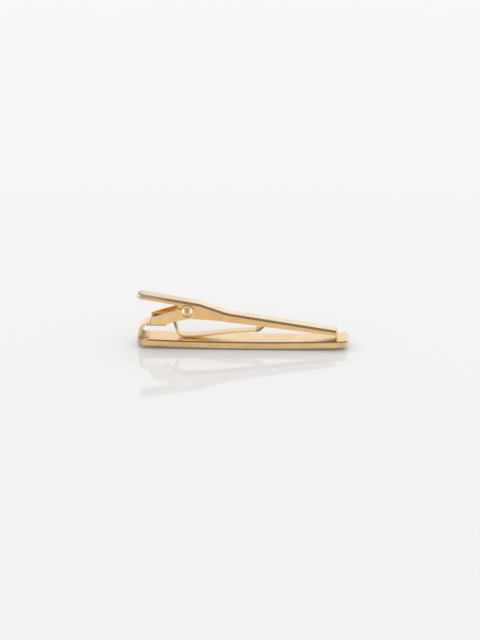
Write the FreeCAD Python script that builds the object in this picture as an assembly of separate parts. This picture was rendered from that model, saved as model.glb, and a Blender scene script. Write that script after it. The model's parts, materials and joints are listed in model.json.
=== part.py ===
import FreeCAD, Part
import math
import os

# A tie clip that lies face down: a bowed bar, a soldered hinge bracket, a sprung lever and its rivet.
# Lengths are millimetres and angles degrees. X runs from the thumb tab to the jaw's tip, Y across the bar
# and Z up. The origin is under the middle of the bar, where its bowed face is lowest.

# Face bar
bar_length = 58.0
bar_width = 7.4
bar_thickness = 2.35
bar_bow = 0.62
bar_corner_radius = 1.2
bar_end_radius = 1.5
bar_end_bulge_share = 0.25
bar_face_edge_radius = 0.7
bar_back_edge_radius = 0.3
bar_seam_inset = 3.0

# Hinge pivot, from the bar's end and above its back
pivot_from_end = 13.92
pivot_height = 7.96

# Lever of folded sheet: thumb tab, ramp and jaw
lever_width = 4.3
lever_sheet = 0.7
lever_fold_radius = 0.75
roof_above_pivot = 2.7
tab_inset = 0.27
tab_angle = 9.6
tab_corner_share = 0.84
tab_rim_depth = 1.38
kink_reach = 3.45
kink_radius = 2.0
ramp_run = 7.55
ramp_angle = 19.0
ramp_foot_radius = 10.0
jaw_tip_inset = 2.9
jaw_tip_height = 2.42
jaw_tip_radius = 0.9
jaw_lip_gap = 0.06
flange_back_reach = 2.45
flange_below_pivot = 1.95
flange_corner_radius = 0.8
flange_bend_reach = 7.3
flange_bend_drop = 2.46
flange_bend_radius = 20.0
flange_tip_depth = 1.33
flange_step_radius = 0.4

# Hinge bracket of bent strip
bracket_sheet = 0.85
bracket_side_gap = 0.1
leg_width = 4.3
leg_inset = 0.48
leg_bend_radius = 2.0
web_clear_height = 3.42
web_end_setback = 6.5
shoulder_run = 1.3
ear_setback = 3.22
ear_start_height = 2.27
ear_corner_radius = 0.6
ear_fold_radius = 0.9
ear_end_radius = 1.85
ear_top_reach = 1.3
ear_neck_run = 2.76
ear_neck_height = 1.44
ear_neck_radius = 2.0

# Pivot rivet
pin_diameter = 1.6
pin_clearance = 0.03
rivet_head_diameter = 2.9
rivet_head_height = 0.8

# Leaf spring
spring_thickness = 0.6
spring_side_gap = 0.15
spring_foot_length = 3.2
spring_foot_bend_radius = 0.7
spring_bow_radius = 1.9
spring_bow_setback = 2.5
spring_bar_gap = 0.06
spring_short_arm_angle = 75.0
spring_heel_reach = 1.7
spring_heel_radius = 12.0
spring_long_arm_angle = 7.6
spring_far_arm_angle = 4.6
spring_arm_bend_reach = 11.3
spring_arm_bend_radius = 60.0
spring_tip_reach = 19.45
spring_tip_angle = 42.0
spring_tip_bend_radius = 0.6
spring_pad_length = 2.0
spring_pad_gap = 0.05

# Pool of solder that joins the bracket's leg to the bar
solder_side_margin = 0.2
solder_outer_height = 0.5
solder_outer_reach = 0.15
solder_inner_height = 0.8
solder_hollow_reach = 0.6
solder_hollow_share = 0.4
solder_pool_height = 0.26
solder_pool_length = 2.2
solder_toe_run = 0.7

# How far a cutting shape runs past what it cuts
cut_overrun = 1.0

# How near an edge counts as lying on a surface, as a share of a size beside it
near_share = 0.05

# The bar's bow is an arc, and its back follows the same centre
bar_half = bar_length / 2
bow_radius = (bar_half ** 2 + bar_bow ** 2) / (2 * bar_bow)


def face_z(x):
    """Height of the bar's bowed face."""
    return bow_radius - math.sqrt(bow_radius ** 2 - x ** 2)


def back_z(x):
    """Height of the bar's back."""
    return bow_radius - math.sqrt((bow_radius - bar_thickness) ** 2 - x ** 2)


pivot_x = pivot_from_end - bar_half
pivot_z = back_z(pivot_x) + pivot_height
pin_radius = pin_diameter / 2

tab_slope = math.tan(math.radians(tab_angle))
ramp_slope = math.tan(math.radians(ramp_angle))
tab_end_x = tab_inset - bar_half
tab_corner_radius = tab_corner_share * lever_width / 2
kink_x = pivot_x + kink_reach
kink_z = pivot_z + roof_above_pivot - kink_reach * tab_slope
ramp_foot_x = kink_x + ramp_run
ramp_foot_z = kink_z - ramp_run * ramp_slope
tip_x = bar_half - jaw_tip_inset
tip_z = back_z(tip_x) + jaw_tip_height
jaw_angle = math.degrees(math.atan2(ramp_foot_z - tip_z, tip_x - ramp_foot_x))
lever_inside_width = lever_width - 2 * lever_sheet
spring_width = lever_inside_width - 2 * spring_side_gap
lever_top_radii = [0, kink_radius, ramp_foot_radius, jaw_tip_radius, 0]

leg_x = -bar_half + leg_inset
leg_inside_x = leg_x + bracket_sheet
web_end_x = pivot_x - web_end_setback
web_z = back_z(leg_x) + web_clear_height
web_top_z = web_z + bracket_sheet
ear_x = leg_x + ear_setback
ear_inside_width = lever_width + 2 * bracket_side_gap
ear_outside_width = ear_inside_width + 2 * bracket_sheet


def at(x, z):
    """A point of the side view, on the clip's middle plane."""
    return FreeCAD.Vector(x, 0, z)


def heading(degrees):
    """The side-view direction that climbs at the given angle towards the jaw's tip."""
    turn = math.radians(degrees)
    return at(math.cos(turn), math.sin(turn))


def left_of(direction):
    """The side-view direction a quarter turn to the left."""
    return at(-direction.z, direction.x)


def direction_between(start, end):
    """The unit direction from one point to another."""
    step = end - start
    return step * (1 / step.Length)


def rounded_outline(points, radii):
    """A closed wire through the points, with an arc of the given radius at each corner."""
    edges = []
    count = len(points)
    starts = []
    ends = []
    arcs = []
    for index, corner in enumerate(points):
        inward = direction_between(points[index - 1], corner)
        outward = direction_between(corner, points[(index + 1) % count])
        half_turn = inward.getAngle(outward) / 2
        radius = radii[index]
        reach = radius * math.tan(half_turn)
        start = corner - inward * reach
        end = corner + outward * reach
        starts.append(start)
        ends.append(end)
        if radius > 0:
            towards_centre = outward - inward
            towards_centre.normalize()
            middle = corner + towards_centre * (radius / math.cos(half_turn) - radius)
            arcs.append(Part.Arc(start, middle, end).toShape())
        else:
            arcs.append(None)
    for index in range(count):
        if arcs[index] is not None:
            edges.append(arcs[index])
        edges.append(Part.LineSegment(ends[index], starts[(index + 1) % count]).toShape())
    return Part.Wire(edges)


def extruded(edges, width):
    """A closed side-view outline as a solid of the given width, centred on the middle plane."""
    face = Part.Face(Part.Wire(edges))
    face.translate(FreeCAD.Vector(0, -width / 2, 0))
    return face.extrude(FreeCAD.Vector(0, width, 0))


def slab(points, radii, width):
    """A side-view polygon with rounded corners as a solid of the given width."""
    return extruded(rounded_outline(points, radii).Edges, width)


def offset_points(points, distance):
    """A side-view path's corners, moved to its left by the given distance."""
    moved = []
    last = len(points) - 1
    for index, point in enumerate(points):
        before = direction_between(points[max(index - 1, 0)], points[max(index, 1)])
        after = direction_between(points[min(index, last - 1)], points[min(index + 1, last)])
        side_before = left_of(before)
        side_after = left_of(after)
        share = distance / (1 + side_before.dot(side_after))
        moved.append(point + (side_before + side_after) * share)
    return moved


def turn_signs(points):
    """Plus one where the path turns left, minus one where it turns right and zero at its ends."""
    signs = [0]
    for before, corner, after in zip(points, points[1:], points[2:]):
        turn = left_of(corner - before).dot(after - corner)
        signs.append(math.copysign(1, turn))
    signs.append(0)
    return signs


def bent_strip(points, inside_radii, thickness, width):
    """A strip bent along a side-view path, with the inside radius of each bend given."""
    half = thickness / 2
    left = offset_points(points, half)
    right = offset_points(points, -half)
    left_radii = []
    right_radii = []
    for sign, radius in zip(turn_signs(points), [0] + inside_radii + [0]):
        left_radii.append(radius + max(-sign, 0) * thickness)
        right_radii.append(radius + max(sign, 0) * thickness)
    outline = left + right[::-1]
    return slab(outline, left_radii + right_radii[::-1], width)


def cross_cylinder(x, z, radius, width):
    """A cylinder along Y, centred on the middle plane."""
    start = FreeCAD.Vector(x, -width / 2, z)
    return Part.makeCylinder(radius, width, start, FreeCAD.Vector(0, 1, 0))


def tab_block(inset, width, corner_radius):
    """A block square to the thumb tab, with round corners at the tab's end, that reaches past the jaw."""
    half = width / 2
    reach = bar_length + cut_overrun
    height = bar_length
    points = [
        FreeCAD.Vector(inset, -half, -height),
        FreeCAD.Vector(inset, half, -height),
        FreeCAD.Vector(reach, half, -height),
        FreeCAD.Vector(reach, -half, -height),
    ]
    outline = rounded_outline(points, [corner_radius, corner_radius, 0, 0])
    block = Part.Face(outline).extrude(FreeCAD.Vector(0, 0, 2 * height))
    block.rotate(at(0, 0), FreeCAD.Vector(0, 1, 0), tab_angle)
    block.translate(lever_top_path()[0])
    return block


def make_face_bar():
    """The worn face: a bowed bar with eased edges and rounded ends."""
    left_low = at(-bar_half, face_z(bar_half))
    right_low = at(bar_half, face_z(bar_half))
    left_high = at(-bar_half, back_z(bar_half))
    right_high = at(bar_half, back_z(bar_half))
    outline = [
        Part.Arc(left_low, at(0, 0), right_low).toShape(),
        Part.LineSegment(right_low, right_high).toShape(),
        Part.Arc(right_high, at(0, bar_thickness), left_high).toShape(),
        Part.LineSegment(left_high, left_low).toShape(),
    ]
    bar = extruded(outline, bar_width)
    uprights = []
    for edge in bar.Edges:
        if edge.BoundBox.XLength < edge.BoundBox.ZLength and edge.BoundBox.YLength < edge.BoundBox.ZLength:
            uprights.append(edge)
    bar = bar.makeFillet(bar_corner_radius, uprights)
    bar = bar.makeFillet(bar_back_edge_radius, rim_edges(bar, back_z))
    bar = bar.makeFillet(bar_face_edge_radius, rim_edges(bar, face_z))
    for side in (-1, 1):
        bar = bar.cut(make_end_cutter(side))
    return bar


def divided(bar):
    """The same bar with its long bowed faces divided near the ends, so that they mesh evenly."""
    seam_x = bar_half - bar_seam_inset
    reach = bar_half + cut_overrun
    depth = bar_width + 2 * cut_overrun
    height = back_z(bar_half) + 2 * cut_overrun
    stops = [-reach, -seam_x, seam_x, reach]
    pieces = []
    for start, stop in zip(stops, stops[1:]):
        corner = FreeCAD.Vector(start, -depth / 2, -cut_overrun)
        pieces.append(bar.common(Part.makeBox(stop - start, depth, height, corner)))
    return pieces[0].fuse(pieces[1:]).Solids[0]


def make_end_cutter(side):
    """What is taken off a low end of the bar, to round it more than the long edges."""
    foot_x = bar_half - bar_end_radius
    foot = at(side * foot_x, face_z(foot_x))
    end = at(side * bar_half, face_z(bar_half) + bar_end_radius)
    outward = at(side, -1)
    outward.normalize()
    middle = (foot + end) * 0.5 + outward * (bar_end_radius * bar_end_bulge_share)
    far_x = side * (bar_half + cut_overrun)
    corners = [end, at(far_x, end.z), at(far_x, -cut_overrun), at(foot.x, -cut_overrun), foot]
    edges = [Part.Arc(foot, middle, end).toShape()]
    for start, stop in zip(corners, corners[1:]):
        edges.append(Part.LineSegment(start, stop).toShape())
    return extruded(edges, bar_width + 2 * cut_overrun)


def rim_edges(bar, surface_z):
    """The edges that run round the bar's back or its face."""
    edges = []
    for edge in bar.Edges:
        middle = edge.valueAt((edge.FirstParameter + edge.LastParameter) / 2)
        if abs(middle.z - surface_z(middle.x)) < bar_back_edge_radius * near_share:
            edges.append(edge)
    return edges


def ear_tangent(start, turn, radius):
    """Where a line from the start point touches a circle about the pivot, above or below the pivot."""
    pivot = at(pivot_x, pivot_z)
    reach = (pivot - start).Length
    lean = math.degrees(math.asin(radius / reach))
    aim = math.degrees(math.atan2(pivot.z - start.z, pivot.x - start.x))
    return start + heading(aim + turn * lean) * math.sqrt(reach ** 2 - radius ** 2)


def fold_edges(block):
    """The edges along the web's underside where the sheet is folded up into the ears."""
    folds = []
    for edge in block.Edges:
        along = edge.BoundBox.XLength > edge.BoundBox.YLength + edge.BoundBox.ZLength
        if along and edge.BoundBox.ZMax < web_z + bracket_sheet / 2:
            folds.append(edge)
    return folds


def make_ears():
    """The folded channel whose two sides reach up to the pivot."""
    low = at(ear_x, web_z)
    high = at(ear_x, web_z + ear_start_height)
    neck = at(web_end_x + ear_neck_run, web_z + ear_neck_height)
    pivot = at(pivot_x, pivot_z)
    web_end = at(web_end_x, web_z)
    top_end = ear_tangent(high, 1, ear_top_reach)
    low_end = ear_tangent(neck, -1, ear_end_radius)
    outline = [low, high, top_end, pivot, low_end, neck, web_end]
    radii = [0, ear_corner_radius, 0, 0, 0, ear_neck_radius, 0]
    ears = slab(outline, radii, ear_outside_width)
    ears = ears.makeFillet(ear_fold_radius, fold_edges(ears))
    ears = ears.fuse(cross_cylinder(pivot_x, pivot_z, ear_end_radius, ear_outside_width))
    slot_length = pivot_x + ear_end_radius + cut_overrun - ear_x + cut_overrun
    slot_height = pivot_z + ear_end_radius + cut_overrun - web_top_z
    slot_start = FreeCAD.Vector(ear_x - cut_overrun, -ear_inside_width / 2, web_top_z)
    slot = Part.makeBox(slot_length, ear_inside_width, slot_height, slot_start)
    gap_length = pivot_x + ear_end_radius + cut_overrun - web_end_x
    gap_start = FreeCAD.Vector(web_end_x, -ear_inside_width / 2, web_z - cut_overrun)
    gap = Part.makeBox(gap_length, ear_inside_width, slot_height + cut_overrun, gap_start)
    hole = cross_cylinder(pivot_x, pivot_z, pin_radius, ear_outside_width + cut_overrun)
    return ears.cut(slot.fuse(gap)).cut(hole)


def make_shoulders():
    """The web's flare from the leg's width to the ears, rounded below as the ears are."""
    start_x = ear_x - shoulder_run
    end_x = ear_x + bracket_sheet
    half_leg = leg_width / 2
    half_ears = ear_outside_width / 2
    corner = FreeCAD.Vector(start_x, -half_ears, web_z)
    block = Part.makeBox(end_x - start_x, ear_outside_width, 2 * ear_fold_radius, corner)
    block = block.makeFillet(ear_fold_radius, fold_edges(block))
    plan = [
        FreeCAD.Vector(start_x, -half_leg, web_z),
        FreeCAD.Vector(ear_x, -half_ears, web_z),
        FreeCAD.Vector(end_x, -half_ears, web_z),
        FreeCAD.Vector(end_x, half_ears, web_z),
        FreeCAD.Vector(ear_x, half_ears, web_z),
        FreeCAD.Vector(start_x, half_leg, web_z),
    ]
    flare = Part.Face(Part.makePolygon(plan + plan[:1])).extrude(FreeCAD.Vector(0, 0, bracket_sheet))
    return block.common(flare)


def make_hinge_bracket(bar):
    """The bent strip: leg on the bar's back, web, shoulders and the two ears."""
    half = bracket_sheet / 2
    path = [
        at(leg_x + half, (face_z(leg_x) + back_z(leg_x)) / 2),
        at(leg_x + half, web_z + half),
        at(web_end_x, web_z + half),
    ]
    strip = bent_strip(path, [leg_bend_radius], bracket_sheet, leg_width)
    return strip.fuse(make_shoulders()).fuse(make_ears()).cut(bar).removeSplitter()


def make_solder_fillet(bar, bracket):
    """The solder that wets the leg's base and lies in a pool on the bar's back."""
    toe_x = leg_inside_x + solder_pool_length
    toe_z = back_z(toe_x)
    base_z = toe_z - bar_back_edge_radius
    outer_x = leg_x - solder_outer_reach
    leg_base_z = back_z(leg_x)
    crest = at(leg_inside_x, leg_base_z + solder_inner_height)
    pool_start_x = leg_inside_x + solder_hollow_reach
    pool_end_x = toe_x - solder_toe_run
    pool_start = at(pool_start_x, back_z(pool_start_x) + solder_pool_height)
    hollow_x = crest.x + solder_hollow_reach * solder_hollow_share
    hollow_z = pool_start.z + (crest.z - pool_start.z) * solder_hollow_share
    corners = [
        crest,
        at(leg_x, leg_base_z + solder_outer_height),
        at(outer_x, leg_base_z),
        at(outer_x, base_z),
        at(toe_x, base_z),
        at(toe_x, toe_z),
        at(pool_end_x, back_z(pool_end_x) + solder_pool_height),
        pool_start,
    ]
    edges = [Part.Arc(pool_start, at(hollow_x, hollow_z), crest).toShape()]
    for start, end in zip(corners, corners[1:]):
        edges.append(Part.LineSegment(start, end).toShape())
    width = leg_width + 2 * solder_side_margin
    return extruded(edges, width).cut(bar).cut(bracket)


def lever_top_path():
    """The lever's upper side, from the thumb tab's end to the foot of the jaw's lip."""
    return [
        at(tab_end_x, kink_z + (kink_x - tab_end_x) * tab_slope),
        at(kink_x, kink_z),
        at(ramp_foot_x, ramp_foot_z),
        at(tip_x, tip_z),
        at(tip_x, back_z(tip_x) + jaw_lip_gap),
    ]


def make_lever_shell():
    """The lever before it is hollowed, with its folded upper edges."""
    top = lever_top_path()
    lip_x = tip_x - lever_sheet
    flange_x = pivot_x - flange_back_reach
    bend_x = pivot_x + flange_bend_reach
    tab_z = kink_z + (kink_x - flange_x) * tab_slope
    outline = top + [
        at(lip_x, top[-1].z),
        at(lip_x, tip_z - flange_tip_depth),
        at(bend_x, pivot_z - flange_bend_drop),
        at(flange_x, pivot_z - flange_below_pivot),
        at(flange_x, tab_z - tab_rim_depth),
        top[0] - left_of(heading(-tab_angle)) * tab_rim_depth,
    ]
    flange_radii = [0, 0, flange_bend_radius, flange_corner_radius, flange_step_radius, 0]
    shell = slab(outline, lever_top_radii + flange_radii, lever_width)
    shell = shell.common(tab_block(0, lever_width, tab_corner_radius)).removeSplitter()
    return shell.makeFillet(lever_fold_radius, lever_fold_edges(shell))


def lever_fold_edges(shell):
    """The edges along the lever's upper side where the sheet is folded down."""
    closed = rounded_outline(lever_top_path(), lever_top_radii)
    upper = Part.Compound(closed.Edges[:-1])
    folds = []
    for edge in shell.Edges:
        middle = edge.valueAt((edge.FirstParameter + edge.LastParameter) / 2)
        spot = Part.Vertex(at(middle.x, middle.z))
        near_top = spot.distToShape(upper)[0] < lever_sheet * near_share
        across = edge.BoundBox.YLength > lever_inside_width
        if near_top and not across:
            folds.append(edge)
    return folds


def make_clip_lever():
    """The sprung lever: thumb tab with a folded rim, pivot flanges, channel jaw and lip."""
    top = lever_top_path()
    inner_top = offset_points(top, -lever_sheet)
    low_z = -cut_overrun
    inner = inner_top[:4] + [at(inner_top[3].x, low_z), at(inner_top[0].x, low_z)]
    inner_radii = [
        0, kink_radius - lever_sheet, ramp_foot_radius + lever_sheet, jaw_tip_radius - lever_sheet, 0, 0,
    ]
    hollow = slab(inner, inner_radii, lever_inside_width)
    plan = tab_block(lever_sheet, lever_inside_width, tab_corner_radius - lever_sheet)
    hole = cross_cylinder(pivot_x, pivot_z, pin_radius + pin_clearance, lever_width + cut_overrun)
    return make_lever_shell().cut(hollow.common(plan)).cut(hole)


def make_pivot_rivet():
    """The pin through ears and lever, with a domed head at each end."""
    seat = ear_outside_width / 2
    head_radius = rivet_head_diameter / 2
    dome_radius = (head_radius ** 2 + rivet_head_height ** 2) / (2 * rivet_head_height)
    rivet = cross_cylinder(pivot_x, pivot_z, pin_radius, 2 * seat)
    for side in (-1, 1):
        centre = FreeCAD.Vector(pivot_x, side * (seat + rivet_head_height - dome_radius), pivot_z)
        ball = Part.makeSphere(dome_radius, centre)
        head = cross_cylinder(pivot_x, pivot_z, head_radius, 2 * rivet_head_height)
        head.translate(FreeCAD.Vector(0, side * (seat + rivet_head_height), 0))
        rivet = rivet.fuse(head.common(ball))
    return rivet.removeSplitter()


def make_leaf_spring():
    """The bent strip that runs from the bracket's web down to the bar and up into the jaw."""
    half = spring_thickness / 2
    bow_x = pivot_x - spring_bow_setback
    bow = at(bow_x, back_z(bow_x) + spring_bar_gap + half)
    heel = at(pivot_x + spring_heel_reach, bow.z)
    down = heading(-spring_short_arm_angle)
    foot_level = web_top_z + half
    arm_top = bow - down * ((foot_level - bow.z) / -down.z)
    along = heading(spring_long_arm_angle)
    bend = heel + along * ((spring_arm_bend_reach - spring_heel_reach) / along.x)
    far = heading(spring_far_arm_angle)
    turn = bend + far * ((spring_tip_reach - spring_arm_bend_reach) / far.x)
    jaw = heading(-jaw_angle)
    roof = at(tip_x, tip_z) - left_of(jaw) * (lever_sheet + spring_pad_gap + half)
    rise = heading(spring_tip_angle)
    climb = (roof - turn).dot(left_of(jaw)) / rise.dot(left_of(jaw))
    pad = turn + rise * climb
    foot_end = at(web_end_x - spring_foot_length, foot_level)
    path = [foot_end, arm_top, bow, heel, bend, turn, pad, pad + jaw * spring_pad_length]
    radii = [
        spring_foot_bend_radius, spring_bow_radius, spring_heel_radius, spring_arm_bend_radius,
        spring_tip_bend_radius, spring_tip_bend_radius,
    ]
    return bent_strip(path, radii, spring_thickness, spring_width)


def main():
    """Build every piece and write each one to its own file."""
    bar = make_face_bar()
    bracket = make_hinge_bracket(bar)
    pieces = {
        "face_bar": divided(bar),
        "hinge_bracket": bracket,
        "solder_fillet": make_solder_fillet(bar, bracket),
        "clip_lever": make_clip_lever(),
        "pivot_rivet": make_pivot_rivet(),
        "leaf_spring": make_leaf_spring(),
    }
    os.makedirs("parts", exist_ok=True)
    for name, shape in pieces.items():
        box = shape.BoundBox
        print(name, shape.isValid(), len(shape.Solids), round(shape.Volume, 3),
              [round(value, 3) for value in (box.XMin, box.XMax, box.YMin, box.YMax, box.ZMin, box.ZMax)])
        shape.exportStep("parts/" + name + ".step")


main()
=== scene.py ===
import json
import math
from collections import namedtuple

import bmesh
import bpy
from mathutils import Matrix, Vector


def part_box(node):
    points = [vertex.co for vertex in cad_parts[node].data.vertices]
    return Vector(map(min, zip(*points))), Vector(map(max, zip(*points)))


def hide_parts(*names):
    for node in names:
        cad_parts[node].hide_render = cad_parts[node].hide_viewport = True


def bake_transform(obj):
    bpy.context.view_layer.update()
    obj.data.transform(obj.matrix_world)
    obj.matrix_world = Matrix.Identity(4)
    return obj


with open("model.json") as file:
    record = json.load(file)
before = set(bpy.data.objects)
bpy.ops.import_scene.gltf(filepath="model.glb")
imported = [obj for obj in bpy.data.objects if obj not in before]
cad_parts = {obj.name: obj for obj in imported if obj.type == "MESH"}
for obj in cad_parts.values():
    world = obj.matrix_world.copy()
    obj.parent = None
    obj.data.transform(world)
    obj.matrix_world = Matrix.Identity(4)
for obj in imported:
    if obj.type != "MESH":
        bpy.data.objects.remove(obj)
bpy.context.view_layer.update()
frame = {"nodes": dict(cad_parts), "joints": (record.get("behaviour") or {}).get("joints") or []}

# A tie clip of worn gold plate that lies face down on a pale glossy floor. Lengths are metres in the packed
# model's frame, and the finishes are laid out in millimetres of that frame.

MM = 0.001

# The photograph's frame, and where the bar's ends and the clip's origin show in it
PHOTO_WIDTH_PX = 480
PHOTO_HEIGHT_PX = 640
BAR_LEFT_PX = 137.4
BAR_RIGHT_PX = 347.6
ORIGIN_ACROSS_PX = 242.8
ORIGIN_DOWN_PX = 345.5

# Camera
LENS_MM = 100.0
SENSOR_MM = 36.0
CAMERA_AZIMUTH_DEG = 2.0
CAMERA_ELEVATION_DEG = 20.0
CAMERA_NEAR_SHARE = 0.01
CAMERA_FAR = 12.0

# Floor
FLOOR_SIZE = 6.0
FLOOR_COLOUR = (0.825, 0.825, 0.825, 1.0)
FLOOR_GLOW = (1.0, 1.0, 1.0, 1.0)
FLOOR_GLOW_STRENGTH = 0.045
FLOOR_ROUGHNESS = 0.06
FLOOR_SMUDGE = 0.03
FLOOR_SMUDGE_SCALE = 9.0

# Studio: soft light for the floor, and what the metal mirrors, bright behind and beside it, dim elsewhere
SOFT_LIGHT = (1.0, 1.0, 1.0, 1.0)
STUDIO_SEEN = (0.90, 0.90, 0.90, 1.0)
STUDIO_DIM = (0.55, 0.53, 0.51, 1.0)
STUDIO_BRIGHT = (1.02, 1.02, 1.02, 1.0)
STUDIO_BRIGHT_LIMITS = (0.05, 0.45)
STUDIO_BACK_WEIGHT = 0.8
STUDIO_SIDE_WEIGHT = 0.7
STUDIO_HEIGHT_WEIGHT = -0.35
SIDE_LAMPS = (2.1, 2.1, 2.1, 1.0)
SIDE_LAMP_LIMITS = (0.78, 0.9)

# Colours of the plate on each piece's upright and upturned faces, where the paler upturned ones are painted
# highlights, and of its faint clouds
BAR_GOLD = (0.98, 0.655, 0.30, 1.0)
BAR_BACK = (0.88, 0.65, 0.36, 1.0)
LEVER_GOLD = (0.95, 0.62, 0.27, 1.0)
LEVER_TOP = (0.91, 0.76, 0.535, 1.0)
BRACKET_GOLD = (1.0, 0.69, 0.33, 1.0)
SPRING_EDGE = (1.0, 0.67, 0.31, 1.0)
SPRING_TOP = (0.86, 0.62, 0.35, 1.0)
RIVET_GOLD = (0.95, 0.71, 0.40, 1.0)
SOLDER = (0.32, 0.21, 0.135, 1.0)
CLOUD_TINT = (0.93, 0.88, 0.80, 1.0)

# Colours where the plate is thicker, thinner or less rubbed, and painted light: darker inside the lever's
# channel, brighter in and round the ears and on the solder
BAR_BACK_LEFT = (0.86, 0.58, 0.27, 1.0)
TAB_TOP = (0.80, 0.62, 0.38, 1.0)
LEVER_INSIDE_SHADE = (0.56, 0.44, 0.31, 1.0)
LIP = (0.80, 0.60, 0.36, 1.0)
EAR_RIM_LIGHT = (1.0, 0.80, 0.50, 1.0)
EAR_INSIDE_LIGHT = (1.0, 0.71, 0.30, 1.0)
SPRING_UNDER = (0.72, 0.62, 0.48, 1.0)
SOLDER_SIDE_LIGHT = (0.85, 0.57, 0.28, 1.0)
SOLDER_OUTSIDE_GLINT = (1.0, 0.80, 0.50, 1.0)

# Colours of tarnish, worn metal and darker marks, some of which are painted shade and dark reflection
# The two tarnish colours also stand in for the dark reflection along the folds and edges: painted
# reflection.
TARNISH_AND_DARK_REFLECTION = (0.42, 0.27, 0.16, 1.0)
BAR_EDGE_TARNISH_AND_DARK_REFLECTION = (0.28, 0.17, 0.10, 1.0)
# The spring's tip and arm colours are painted shade.
SPRING_TIP_SHADE = (0.36, 0.19, 0.085, 1.0)
SPRING_ARM_SHADE = (0.34, 0.20, 0.10, 1.0)
LEG_INNER_BROWN = (0.72, 0.50, 0.29, 1.0)
WORN = (0.35, 0.32, 0.30, 1.0)
WORN_EDGE = (0.38, 0.34, 0.30, 1.0)
WORN_PALE = (0.62, 0.54, 0.47, 1.0)
BAR_END = (0.52, 0.44, 0.36, 1.0)
BAR_RUBBED = (0.60, 0.49, 0.37, 1.0)
# Painted shade on the bar's face edge, which is turned down to the floor.
FACE_EDGE_SHADE = (0.36, 0.32, 0.30, 1.0)
EAR_END = (0.48, 0.39, 0.29, 1.0)
RIVET_MIDDLE_GREY = (0.70, 0.55, 0.41, 1.0)

# How the plate takes light
METALLIC = 1.0
PLATE_ROUGHNESS = 0.23
RIVET_ROUGHNESS = 0.16
SOLDER_ROUGHNESS = 0.4
COAT_WEIGHT = 0.5
COAT_ROUGHNESS = 0.16
SOLDER_COAT_WEIGHT = 0.0

# Brushing along the clip, and clouds in its colour
NOISE_DETAIL = 4.0
BRUSH_STRETCH = (0.06, 1.0, 1.0)
BRUSH_SCALE = 3.2
BRUSH_ROUGHNESS_SPREAD = 0.10
BRUSH_BUMP = 0.03
BRUSH_DEPTH = 0.02 * MM
EVEN_STRETCH = (1.0, 1.0, 1.0)
CLOUD_SCALE = 0.26
CLOUD_LIMITS = (0.35, 0.7)

# Each pair of limits is where a mask starts and is full, or where it starts to fade and is gone. These are
# for how far a face turns a given way, where 1 is fully.
UPTURNED_LIMITS = (0.72, 0.95)
ASIDE_LIMITS = (0.6, 0.9)
ACROSS_LIMITS = (0.3, 0.6)
EDGE_ASIDE_LIMITS = (0.2, 0.5)
EDGE_UP_LIMITS = (0.08, 0.35)
FACE_EDGE_LIMITS = (0.05, 0.35)
FACE_LIMITS = (0.92, 0.99)

# Lever: millimetres from the thumb tab's end, and to either side of the clip's middle
TAB_WEAR_RUN = (1.2, 3.4)
TAB_FOLD_WEAR_RUN = (3.0, 14.0)
TAB_TONE_RUN = (12.0, 17.0)
CHANNEL_HALF = (1.5, 1.6)

# Bar: millimetres from its end at the bracket, from its other end for the patch, and up from the bowed face
BAR_BOW = 0.62
BAR_END_WEAR_RUN = (1.4, 3.4)
BAR_TARNISH_AND_REFLECTION_STARTS = (2.4, 4.2)
BACK_TONE_RUN = (8.0, 24.0)
BAR_PATCH_STARTS = (-3.6, -2.0)
BAR_PATCH_ENDS = (-2.0, -0.5)
BAR_PATCH_STRENGTH = 0.7
BAR_SIDE_TARNISH_AND_REFLECTION_RISE = (1.75, 2.1)
BAR_SIDE_TARNISH_AND_REFLECTION_STRENGTH = 1.5
BAR_TIP_WEAR_AND_HIGHLIGHT_STRENGTH = 0.6
STREAK_LIMITS = (0.56, 0.72)
STREAK_STRENGTH = 0.4

# Bracket and solder: millimetres from the bar's end at the bracket, from the clip's middle, and up
LEG_OUTSIDE = (0.75, 1.0)
LEG_INNER_BROWN_RISE = (3.6, 5.8)
SOLDER_TOE = (1.5, 2.9)
EAR_END_STARTS = (2.5, 2.8)
EAR_END_ENDS = (3.8, 4.1)
EAR_STARTS = (3.6, 4.0)
EAR_INNER_HALF = (2.35, 2.6)
EAR_RIM_HALF = (2.2, 2.3)
EAR_FRONT = (-2.3, -2.2)

# Bracket, rivet and spring: millimetres from the pivot, and up
EAR_EDGE_WEAR_ENDS = (-3.5, -2.0)
RIVET_STREAK = (0.2, 0.6)
SPRING_TIP_STARTS = (18.3, 19.3)
SPRING_ARM_STARTS = (-4.5, -4.2)
SPRING_ARM_ENDS = (-2.8, -2.0)
SPRING_ARM_RISE = (3.8, 6.5)

# How far a ragged edge of wear wanders, in millimetres
WEAR_WANDER = 2.0

# The leaf spring is cut finely along its length.
SPRING_STEP = 0.4 * MM
WELD_DISTANCE = 0.001 * MM
CUT_TOLERANCE = 0.0001 * MM

PIVOT = Vector(frame["joints"][0]["pos_m"])
BAR_LOW, BAR_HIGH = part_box("face_bar")
TAB_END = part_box("clip_lever")[0].x
BAR_BOW_PER_SQUARE_MM = BAR_BOW / (BAR_HIGH.x / MM) ** 2

# What the masks of a finish are made from: a point's place in millimetres, the way it faces, and its noises
Surface = namedtuple("Surface", "tree x y z nx ny nz brush cloud")


def link_or_set(tree, socket, value):
    """Feed an input from another socket, or give it a value."""
    if isinstance(value, bpy.types.NodeSocket):
        tree.links.new(value, socket)
    else:
        socket.default_value = value


def node(tree, kind, **inputs):
    """Add a node and set its inputs by name."""
    made = tree.nodes.new(kind)
    for name, value in inputs.items():
        link_or_set(tree, made.inputs[name.replace("_", " ")], value)
    return made


def calculated(tree, operation, *values):
    """The result of a math node on the given values or sockets."""
    made = tree.nodes.new("ShaderNodeMath")
    made.operation = operation
    for socket, value in zip(made.inputs, values):
        link_or_set(tree, socket, value)
    return made.outputs[0]


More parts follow.
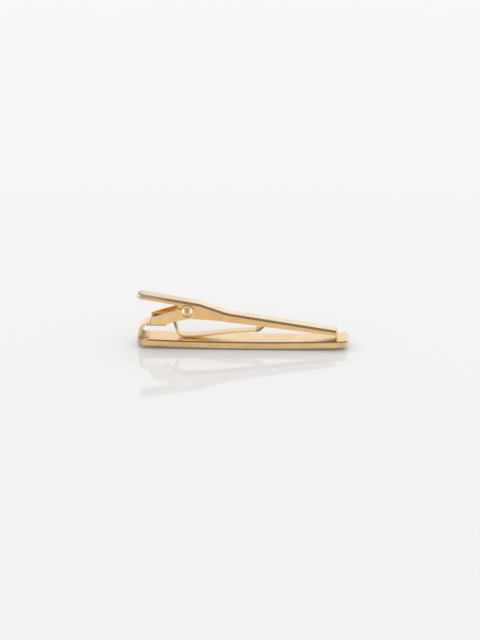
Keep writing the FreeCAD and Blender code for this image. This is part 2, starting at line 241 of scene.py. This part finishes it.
def magnitude(tree, value):
    """A value without its sign."""
    return calculated(tree, "ABSOLUTE", value)


def negated(tree, value):
    """A value with its sign turned."""
    return calculated(tree, "MULTIPLY", value, -1.0)


def product(tree, first, *others):
    """Several masks multiplied."""
    result = first
    for other in others:
        result = calculated(tree, "MULTIPLY", result, other)
    return result


def smooth_step(tree, value, limits, start, end):
    """A smooth step from start at the lower limit to end at the upper one."""
    low, high = limits
    made = node(
        tree, "ShaderNodeMapRange", Value=value, From_Min=low, From_Max=high, To_Min=start, To_Max=end,
    )
    made.interpolation_type = "SMOOTHSTEP"
    return made.outputs["Result"]


def ramp(tree, value, limits):
    """A mask that rises from nothing to full between the limits."""
    return smooth_step(tree, value, limits, 0.0, 1.0)


def fall(tree, value, limits):
    """A mask that falls from full to nothing between the limits."""
    return smooth_step(tree, value, limits, 1.0, 0.0)


def mixed(tree, factor, first, second, blend="MIX"):
    """A colour between two others."""
    made = tree.nodes.new("ShaderNodeMix")
    made.data_type = "RGBA"
    made.blend_type = blend
    inputs = {socket.identifier: socket for socket in made.inputs}
    link_or_set(tree, inputs["Factor_Float"], factor)
    link_or_set(tree, inputs["A_Color"], first)
    link_or_set(tree, inputs["B_Color"], second)
    return next(socket for socket in made.outputs if socket.identifier == "Result_Color")


def blended(tree, factor, first, second):
    """One shader or another, by a factor."""
    made = tree.nodes.new("ShaderNodeMixShader")
    for socket, value in zip(made.inputs, (factor, first, second)):
        tree.links.new(value, socket)
    return made.outputs["Shader"]


def noise_of(tree, position, stretch, scale):
    """Fine noise, drawn out along the given axes."""
    stretched = node(tree, "ShaderNodeMapping", Vector=position, Scale=stretch)
    noise = node(
        tree, "ShaderNodeTexNoise", Vector=stretched.outputs["Vector"], Scale=scale, Detail=NOISE_DETAIL,
    )
    return noise.outputs["Fac"]


def new_material(name):
    """A node material with only its shader and output."""
    material = bpy.data.materials.new(name)
    material.use_nodes = True
    tree = material.node_tree
    return material, tree, tree.nodes["Principled BSDF"]


def surface_of(tree):
    """The values that a finish's masks are made from."""
    coordinates = tree.nodes.new("ShaderNodeTexCoord")
    per_metre = (1 / MM, 1 / MM, 1 / MM)
    spot = node(tree, "ShaderNodeMapping", Vector=coordinates.outputs["Object"], Scale=per_metre)
    position = spot.outputs["Vector"]
    place = node(tree, "ShaderNodeSeparateXYZ", Vector=position).outputs
    facing = node(tree, "ShaderNodeSeparateXYZ", Vector=coordinates.outputs["Normal"]).outputs
    brush = noise_of(tree, position, BRUSH_STRETCH, BRUSH_SCALE)
    cloud = noise_of(tree, position, EVEN_STRETCH, CLOUD_SCALE)
    return Surface(tree, *place[:3], *facing[:3], brush, cloud)


def upturned(surface):
    """Faces that look up."""
    return ramp(surface.tree, surface.nz, UPTURNED_LIMITS)


def facing_aside(surface):
    """Faces that look to either side of the clip."""
    return ramp(surface.tree, magnitude(surface.tree, surface.ny), ASIDE_LIMITS)


def cut_edge(surface):
    """Faces that look to neither side: on an upright sheet, its cut edge."""
    return fall(surface.tree, magnitude(surface.tree, surface.ny), ACROSS_LIMITS)


def upper_edge(surface):
    """The folded and eased upper edges along the clip."""
    tree = surface.tree
    aside = ramp(tree, magnitude(tree, surface.ny), EDGE_ASIDE_LIMITS)
    return product(tree, aside, ramp(tree, surface.nz, EDGE_UP_LIMITS))


def along_from(surface, start):
    """How far a point lies along the clip from the given place, in millimetres."""
    return calculated(surface.tree, "SUBTRACT", surface.x, start / MM)


def ragged_from(surface, start):
    """How far a point lies along the clip from the given place, with an uneven edge."""
    return calculated(surface.tree, "MULTIPLY_ADD", surface.cloud, WEAR_WANDER, along_from(surface, start))


def plate(name, upright, upward, layers, roughness=PLATE_ROUGHNESS, coat=COAT_WEIGHT):
    """Brushed gold plate. Upturned faces take the paler upward colour, a painted highlight. Each layer
    gives a mask and the colour that shows there.
    """
    material, tree, shader = new_material(name)
    surface = surface_of(tree)
    colour = mixed(tree, upturned(surface), upright, upward)
    colour = mixed(tree, ramp(tree, surface.cloud, CLOUD_LIMITS), colour, CLOUD_TINT, blend="MULTIPLY")
    for layer in layers:
        mask, shown = layer(surface)
        colour = mixed(tree, mask, colour, shown)
    tree.links.new(colour, shader.inputs["Base Color"])
    smoothest = roughness - BRUSH_ROUGHNESS_SPREAD / 2
    rough = calculated(tree, "MULTIPLY_ADD", surface.brush, BRUSH_ROUGHNESS_SPREAD, smoothest)
    tree.links.new(rough, shader.inputs["Roughness"])
    bump = node(tree, "ShaderNodeBump", Strength=BRUSH_BUMP, Distance=BRUSH_DEPTH, Height=surface.brush)
    tree.links.new(bump.outputs["Normal"], shader.inputs["Normal"])
    shader.inputs["Metallic"].default_value = METALLIC
    shader.inputs["Coat Weight"].default_value = coat
    shader.inputs["Coat Roughness"].default_value = COAT_ROUGHNESS
    return material


def back_tone(surface):
    """Deeper gold on the bar's back towards the bracket."""
    run = fall(surface.tree, along_from(surface, BAR_LOW.x), BACK_TONE_RUN)
    return product(surface.tree, run, upturned(surface)), BAR_BACK_LEFT


def bar_side_tarnish_and_dark_reflection(surface):
    """Faint tarnish and painted dark reflection on the upper part of the bar's sides, at a height that
    follows the bar's bow.
    """
    tree = surface.tree
    square = product(tree, surface.x, surface.x)
    height = calculated(tree, "MULTIPLY_ADD", square, -BAR_BOW_PER_SQUARE_MM, surface.z)
    upper = ramp(tree, height, BAR_SIDE_TARNISH_AND_REFLECTION_RISE)
    start = ramp(tree, along_from(surface, BAR_LOW.x), BAR_TARNISH_AND_REFLECTION_STARTS)
    band = product(tree, upper, facing_aside(surface), start, surface.brush)
    return product(tree, band, BAR_SIDE_TARNISH_AND_REFLECTION_STRENGTH), TARNISH_AND_DARK_REFLECTION


def bar_edge_tarnish_and_dark_reflection(surface):
    """Darker tarnish and painted dark reflection along the bar's upper edges, away from the solder."""
    start = ramp(surface.tree, along_from(surface, BAR_LOW.x), BAR_TARNISH_AND_REFLECTION_STARTS)
    return product(surface.tree, upper_edge(surface), start), BAR_EDGE_TARNISH_AND_DARK_REFLECTION


def bar_streaks(surface):
    """Faint grey streaks along the bar's sides."""
    streak = ramp(surface.tree, surface.brush, STREAK_LIMITS)
    return product(surface.tree, streak, facing_aside(surface), STREAK_STRENGTH), WORN_PALE


def bar_end_wear(surface):
    """Grey metal at the bar's end below the tab."""
    return fall(surface.tree, ragged_from(surface, BAR_LOW.x), BAR_END_WEAR_RUN), BAR_END


def bar_tip_wear_and_highlight(surface):
    """A rubbed rim and painted highlight on the bar's end beyond the jaw."""
    outward = ramp(surface.tree, surface.nx, ACROSS_LIMITS)
    return product(surface.tree, outward, BAR_TIP_WEAR_AND_HIGHLIGHT_STRENGTH), WORN_PALE


def bar_patch(surface):
    """A rubbed patch on the bar's front side, near its end beyond the jaw."""
    tree = surface.tree
    from_end = along_from(surface, BAR_HIGH.x)
    stretch = product(tree, ramp(tree, from_end, BAR_PATCH_STARTS), fall(tree, from_end, BAR_PATCH_ENDS))
    front = ramp(tree, negated(tree, surface.ny), ASIDE_LIMITS)
    return product(tree, stretch, front, BAR_PATCH_STRENGTH), BAR_RUBBED


def bar_face_edge_shade(surface):
    """Painted shade on the eased edge round the bar's face, which is turned down to the floor."""
    tree = surface.tree
    down = negated(tree, surface.nz)
    return product(tree, ramp(tree, down, FACE_EDGE_LIMITS), fall(tree, down, FACE_LIMITS)), FACE_EDGE_SHADE


def bar_finish():
    """The bar's plate, tarnished and darkened by painted reflection along its edges, with painted shade on
    its face edge, and rubbed at its ends, where the end beyond the jaw also gets a painted highlight.
    """
    layers = [
        back_tone, bar_side_tarnish_and_dark_reflection, bar_edge_tarnish_and_dark_reflection, bar_streaks,
        bar_end_wear, bar_tip_wear_and_highlight, bar_patch, bar_face_edge_shade,
    ]
    return plate("bar_gold", BAR_GOLD, BAR_BACK, layers)


def tab_tone(surface):
    """Warmer plate on the thumb tab's top."""
    run = fall(surface.tree, along_from(surface, TAB_END), TAB_TONE_RUN)
    return product(surface.tree, run, upturned(surface)), TAB_TOP


def lip_tone(surface):
    """Duller plate on the jaw's lip."""
    return ramp(surface.tree, surface.nx, ASIDE_LIMITS), LIP


def fold_tarnish_and_dark_reflection(surface):
    """Brown tarnish and painted dark reflection along the lever's folds."""
    return upper_edge(surface), TARNISH_AND_DARK_REFLECTION


def tab_fold_wear(surface):
    """A grey line along the thumb tab's folded edge."""
    run = fall(surface.tree, ragged_from(surface, TAB_END), TAB_FOLD_WEAR_RUN)
    return product(surface.tree, upper_edge(surface), run), WORN_PALE


def tab_wear(surface):
    """Grey metal where the plate is rubbed off the thumb tab's end."""
    return fall(surface.tree, ragged_from(surface, TAB_END), TAB_WEAR_RUN), WORN


def lever_inside_shade(surface):
    """Painted shade inside the lever's channel."""
    tree = surface.tree
    inner = fall(tree, magnitude(tree, surface.y), CHANNEL_HALF)
    outward = calculated(tree, "MAXIMUM", surface.nz, surface.nx)
    return product(tree, inner, fall(tree, outward, ACROSS_LIMITS)), LEVER_INSIDE_SHADE


def lever_finish():
    """The lever's plate, paler on top as a painted highlight, tarnished and darkened by painted reflection
    along its folds, with painted shade inside its channel, and rubbed at the tab.
    """
    layers = [tab_tone, lip_tone, fold_tarnish_and_dark_reflection, tab_fold_wear, tab_wear, lever_inside_shade]
    return plate("lever_gold", LEVER_GOLD, LEVER_TOP, layers)


def ear_inside_light(surface):
    """Painted light on the ears' inner sides: a deeper, brighter gold for the light that bounces between
    them.
    """
    tree = surface.tree
    ears = ramp(tree, along_from(surface, BAR_LOW.x), EAR_STARTS)
    inner = fall(tree, magnitude(tree, surface.y), EAR_INNER_HALF)
    return product(tree, ears, inner, facing_aside(surface)), EAR_INSIDE_LIGHT


def ear_rim_light(surface):
    """Painted light: paler gold on the sheet's cut edge round the ears."""
    outer = ramp(surface.tree, magnitude(surface.tree, surface.y), EAR_RIM_HALF)
    return product(surface.tree, outer, cut_edge(surface)), EAR_RIM_LIGHT


def ear_edge_wear(surface):
    """A grey line along the upper and outer edge of the front ear."""
    tree = surface.tree
    front = fall(tree, surface.y, EAR_FRONT)
    turned = calculated(tree, "MAXIMUM", surface.nz, negated(tree, surface.nx))
    outward = ramp(tree, turned, ACROSS_LIMITS)
    run = fall(tree, along_from(surface, PIVOT.x), EAR_EDGE_WEAR_ENDS)
    return product(tree, front, cut_edge(surface), outward, run), WORN_EDGE


def ear_end_wear(surface):
    """A grey band where the front ear turns in to the web."""
    tree = surface.tree
    along = along_from(surface, BAR_LOW.x)
    band = product(tree, ramp(tree, along, EAR_END_STARTS), fall(tree, along, EAR_END_ENDS))
    return product(tree, band, fall(tree, surface.y, EAR_FRONT)), EAR_END


def leg_inner_browning(surface):
    """Darker, browner plate low on the leg's inner side."""
    tree = surface.tree
    inner = ramp(tree, along_from(surface, BAR_LOW.x), LEG_OUTSIDE)
    return product(tree, inner, fall(tree, surface.z, LEG_INNER_BROWN_RISE)), LEG_INNER_BROWN


def bracket_finish():
    """The bracket's plate, with painted light in and round the ears, and worn along the front ear's edge.
    """
    layers = [ear_inside_light, ear_rim_light, ear_edge_wear, ear_end_wear, leg_inner_browning]
    return plate("bracket_gold", BRACKET_GOLD, BAR_BACK, layers)


def rivet_streak(surface):
    """A grey upright streak in the middle of the rivet's heads."""
    off_middle = magnitude(surface.tree, along_from(surface, PIVOT.x))
    return fall(surface.tree, off_middle, RIVET_STREAK), RIVET_MIDDLE_GREY


def rivet_finish():
    """The rivet's plate, polished, with a grey upright streak on its heads."""
    return plate("rivet_gold", RIVET_GOLD, RIVET_GOLD, [rivet_streak], RIVET_ROUGHNESS)


def solder_side_light(surface):
    """Painted light: bright gold on the solder's two sides."""
    return facing_aside(surface), SOLDER_SIDE_LIGHT


def solder_toe(surface):
    """The plate on the bar that runs over the solder's thin end."""
    return ramp(surface.tree, along_from(surface, BAR_LOW.x), SOLDER_TOE), BAR_BACK_LEFT


def solder_outside_glint(surface):
    """A painted glint: bright gold on the solder outside the leg."""
    return fall(surface.tree, along_from(surface, BAR_LOW.x), LEG_OUTSIDE), SOLDER_OUTSIDE_GLINT


def solder_finish():
    """Dull brown solder, gilded where it thins out, with painted light on its sides and a painted glint
    outside the leg.
    """
    layers = [solder_side_light, solder_toe, solder_outside_glint]
    return plate("solder", SOLDER, SOLDER, layers, SOLDER_ROUGHNESS, SOLDER_COAT_WEIGHT)


def spring_under(surface):
    """Duller plate on the spring's underside."""
    return ramp(surface.tree, negated(surface.tree, surface.nz), ACROSS_LIMITS), SPRING_UNDER


def spring_tip_shade(surface):
    """Painted shadow of the lever where the spring turns up into it."""
    return ramp(surface.tree, along_from(surface, PIVOT.x), SPRING_TIP_STARTS), SPRING_TIP_SHADE


def spring_arm_shade(surface):
    """Painted shade on the spring's short arm, up where it meets the bracket."""
    tree = surface.tree
    along = along_from(surface, PIVOT.x)
    arm = product(tree, ramp(tree, along, SPRING_ARM_STARTS), fall(tree, along, SPRING_ARM_ENDS))
    return product(tree, ramp(tree, surface.z, SPRING_ARM_RISE), arm), SPRING_ARM_SHADE


def spring_finish():
    """The spring's plate, with painted shade at its tip and at its arm."""
    return plate("spring_gold", SPRING_EDGE, SPRING_TOP, [spring_under, spring_tip_shade, spring_arm_shade])


def dress(name, material):
    """Give a CAD node its finish."""
    part = frame["nodes"][name]
    part.data.materials.clear()
    part.data.materials.append(material)


def shade_evenly(name):
    """Shade a CAD node by the areas of its faces, so that slivers leave no glints. Its shape stays."""
    tree = bpy.data.node_groups.new("shade_evenly", "GeometryNodeTree")
    for way in ("INPUT", "OUTPUT"):
        tree.interface.new_socket("Mesh", in_out=way, socket_type="NodeSocketGeometry")
    given = tree.nodes.new("NodeGroupInput")
    facing = tree.nodes.new("GeometryNodeInputNormal")
    area = tree.nodes.new("GeometryNodeInputMeshFaceArea")
    square_mm = calculated(tree, "DIVIDE", area.outputs["Area"], MM * MM)
    weighted = tree.nodes.new("ShaderNodeVectorMath")
    weighted.operation = "SCALE"
    tree.links.new(facing.outputs["True Normal"], weighted.inputs["Vector"])
    tree.links.new(square_mm, weighted.inputs["Scale"])
    by_face = tree.nodes.new("GeometryNodeFieldOnDomain")
    by_face.data_type = "FLOAT_VECTOR"
    by_face.domain = "FACE"
    tree.links.new(weighted.outputs["Vector"], by_face.inputs["Value"])
    shaded = tree.nodes.new("GeometryNodeSetMeshNormal")
    shaded.mode = "FREE"
    shaded.domain = "POINT"
    tree.links.new(given.outputs["Mesh"], shaded.inputs["Mesh"])
    tree.links.new(by_face.outputs["Value"], shaded.inputs["Custom Normal"])
    node(tree, "NodeGroupOutput", Mesh=shaded.outputs["Mesh"])
    frame["nodes"][name].modifiers.new("shade_evenly", "NODES").node_group = tree


def cut_across(mesh, start, end):
    """Divide a mesh by planes across the clip, a step apart from start to end."""
    shape = bmesh.new()
    shape.from_mesh(mesh)
    bmesh.ops.remove_doubles(shape, verts=shape.verts, dist=WELD_DISTANCE)
    for index in range(1, int((end - start) / SPRING_STEP)):
        spot = Vector((start + index * SPRING_STEP, 0, 0))
        parts = shape.verts[:] + shape.edges[:] + shape.faces[:]
        bmesh.ops.bisect_plane(shape, geom=parts, plane_co=spot, plane_no=(1, 0, 0), dist=CUT_TOLERANCE)
    shape.to_mesh(mesh)
    shape.free()


def make_spring():
    """The leaf spring as a strip cut finely along its length, in place of its CAD node, which is hidden."""
    mesh = frame["nodes"]["leaf_spring"].data.copy()
    mesh.name = "leaf_spring_strip"
    low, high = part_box("leaf_spring")
    cut_across(mesh, low.x, high.x)
    mesh.materials.clear()
    mesh.materials.append(spring_finish())
    strip = bpy.data.objects.new("leaf_spring_strip", mesh)
    bpy.context.scene.collection.objects.link(strip)
    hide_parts("leaf_spring")
    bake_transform(strip)


def make_floor():
    """A pale glossy floor that keeps the clip's shadow and a faint reflection."""
    bpy.ops.mesh.primitive_plane_add(size=FLOOR_SIZE)
    floor = bpy.context.object
    floor.name = "floor"
    material, tree, shader = new_material("floor")
    coordinates = tree.nodes.new("ShaderNodeTexCoord")
    smudge = noise_of(tree, coordinates.outputs["Object"], EVEN_STRETCH, FLOOR_SMUDGE_SCALE)
    rough = calculated(tree, "MULTIPLY_ADD", smudge, FLOOR_SMUDGE, FLOOR_ROUGHNESS - FLOOR_SMUDGE / 2)
    tree.links.new(rough, shader.inputs["Roughness"])
    shader.inputs["Base Color"].default_value = FLOOR_COLOUR
    shader.inputs["Emission Color"].default_value = FLOOR_GLOW
    shader.inputs["Emission Strength"].default_value = FLOOR_GLOW_STRENGTH
    floor.data.materials.append(material)


def studio_glow(tree):
    """What the metal mirrors: a bright back and sides, brightest at the two side lamps."""
    coordinates = tree.nodes.new("ShaderNodeTexCoord")
    way = node(tree, "ShaderNodeSeparateXYZ", Vector=coordinates.outputs["Generated"])
    across, back, height = way.outputs
    aside = magnitude(tree, across)
    weighted = product(tree, back, STUDIO_BACK_WEIGHT)
    weighted = calculated(tree, "MULTIPLY_ADD", aside, STUDIO_SIDE_WEIGHT, weighted)
    weighted = calculated(tree, "MULTIPLY_ADD", height, STUDIO_HEIGHT_WEIGHT, weighted)
    surround = mixed(tree, ramp(tree, weighted, STUDIO_BRIGHT_LIMITS), STUDIO_DIM, STUDIO_BRIGHT)
    return mixed(tree, ramp(tree, aside, SIDE_LAMP_LIMITS), surround, SIDE_LAMPS)


def make_world():
    """Studio surroundings: soft light from all sides, a glow for the metal to mirror, a plain backdrop."""
    world = bpy.data.worlds.new("studio")
    bpy.context.scene.world = world
    world.use_nodes = True
    tree = world.node_tree
    tree.nodes.clear()
    soft = node(tree, "ShaderNodeBackground", Color=SOFT_LIGHT).outputs["Background"]
    mirrored = node(tree, "ShaderNodeBackground", Color=studio_glow(tree)).outputs["Background"]
    seen = node(tree, "ShaderNodeBackground", Color=STUDIO_SEEN).outputs["Background"]
    path = tree.nodes.new("ShaderNodeLightPath")
    lit = blended(tree, path.outputs["Is Glossy Ray"], soft, mirrored)
    shown = blended(tree, path.outputs["Is Camera Ray"], lit, seen)
    node(tree, "ShaderNodeOutputWorld", Surface=shown)


def make_camera():
    """The photograph's view. The bar's length in pixels gives the distance, the origin's pixel the aim."""
    turn = math.radians(CAMERA_AZIMUTH_DEG)
    rise = math.radians(CAMERA_ELEVATION_DEG)
    bar_seen = (BAR_HIGH.x - BAR_LOW.x) * math.cos(turn)
    px_per_metre = (BAR_RIGHT_PX - BAR_LEFT_PX) / bar_seen
    distance = LENS_MM / SENSOR_MM * PHOTO_HEIGHT_PX / px_per_metre
    back = Vector((math.sin(turn) * math.cos(rise), -math.cos(turn) * math.cos(rise), math.sin(rise)))
    right = Vector((math.cos(turn), math.sin(turn), 0))
    up = back.cross(right)
    aim = right * ((PHOTO_WIDTH_PX / 2 - ORIGIN_ACROSS_PX) / px_per_metre)
    aim += up * ((ORIGIN_DOWN_PX - PHOTO_HEIGHT_PX / 2) / px_per_metre)
    camera = bpy.data.cameras.new("camera")
    camera.lens = LENS_MM
    camera.sensor_width = SENSOR_MM
    camera.clip_start = distance * CAMERA_NEAR_SHARE
    camera.clip_end = CAMERA_FAR
    holder = bpy.data.objects.new("camera", camera)
    bpy.context.scene.collection.objects.link(holder)
    holder.location = aim + back * distance
    holder.rotation_mode = "QUATERNION"
    holder.rotation_quaternion = (-back).to_track_quat("-Z", "Y")
    bpy.context.scene.camera = holder


make_camera()
make_floor()
make_world()

dress("face_bar", bar_finish())
shade_evenly("face_bar")
dress("clip_lever", lever_finish())
dress("hinge_bracket", bracket_finish())
dress("pivot_rivet", rivet_finish())
dress("solder_fillet", solder_finish())
make_spring()

bpy.context.scene.view_settings.view_transform = "Standard"
